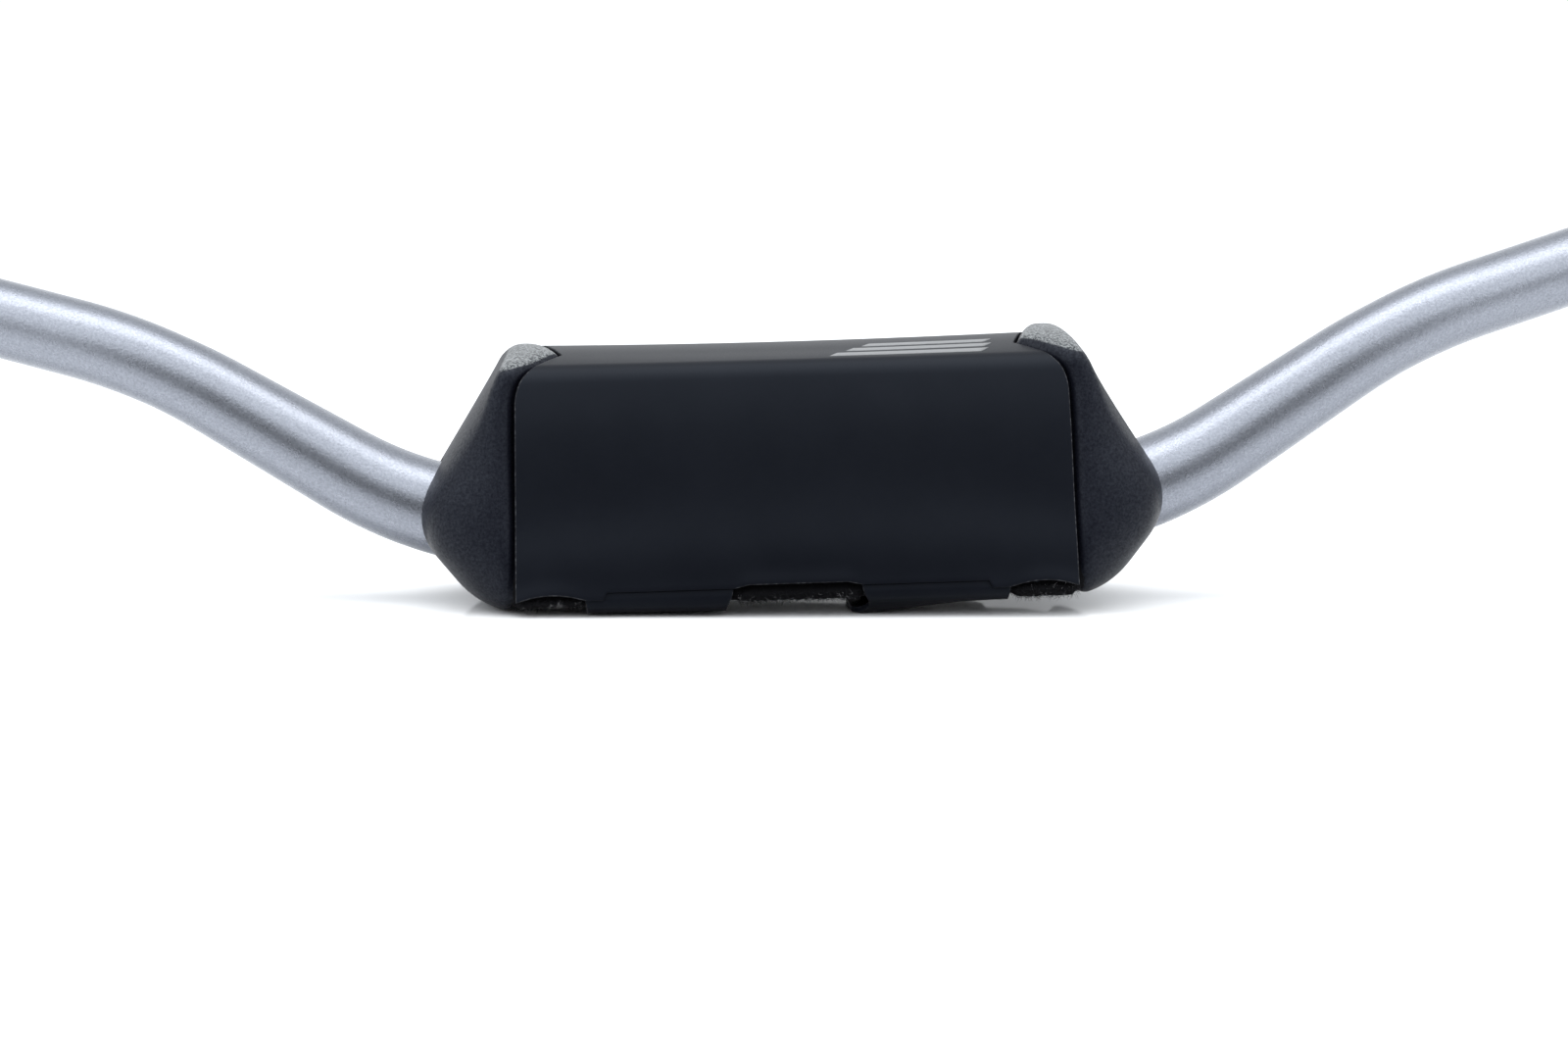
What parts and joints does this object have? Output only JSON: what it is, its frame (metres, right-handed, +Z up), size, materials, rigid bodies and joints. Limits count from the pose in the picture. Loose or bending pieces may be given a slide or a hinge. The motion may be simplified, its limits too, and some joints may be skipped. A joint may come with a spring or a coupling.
{
  "type": "motorcycle handlebar with bar pad",
  "caption": "Tapered motocross handlebar, bent up and swept back, with a foam bar pad in a fabric cover that opens on hook-and-loop tabs passed under the bar.",
  "frame": {"origin": "middle of the clamp section, on the tube's axis", "axes": "+X along the clamp section towards the right-hand end as the front of the pad is seen, +Y back towards the rider, the way the ends sweep, +Z up, the way the ends rise"},
  "size_m": [0.8068, 0.0926, 0.1443],
  "materials": {
    "bar_metal": "satin",
    "foam": "matte",
    "cover_fabric": "matte",
    "tape": "matte",
    "print": "satin"
  },
  "bodies": {
    "handlebar": {"bar_tube": "bar_metal", "pad_foam": "foam", "cover_shell": "cover_fabric", "tape_strip_front": "tape", "tape_strip_rear": "tape", "top_mark": "print"},
    "front_panel": {"cover_front_panel": "cover_fabric"},
    "left_tab": {"cover_tab_left": "cover_fabric", "hook_patch_left": "tape"},
    "right_tab": {"cover_tab_right": "cover_fabric", "hook_patch_right": "tape"}
  },
  "joints": [
    {"name": "front_panel_lift", "type": "hinge", "parent": "handlebar", "child": "front_panel", "pos_m": [0, -0.0238, 0.04747], "axis": [-1, 0, 0], "range_deg": [0, 100]},
    {"name": "left_tab_peel", "type": "hinge", "parent": "front_panel", "child": "left_tab", "pos_m": [-0.039, -0.03398, -0.01605], "axis": [-1, 0, 0], "range_deg": [0, 140]},
    {"name": "right_tab_peel", "type": "hinge", "parent": "front_panel", "child": "right_tab", "pos_m": [0.039, -0.03398, -0.01605], "axis": [-1, 0, 0], "range_deg": [0, 140]}
  ]
}
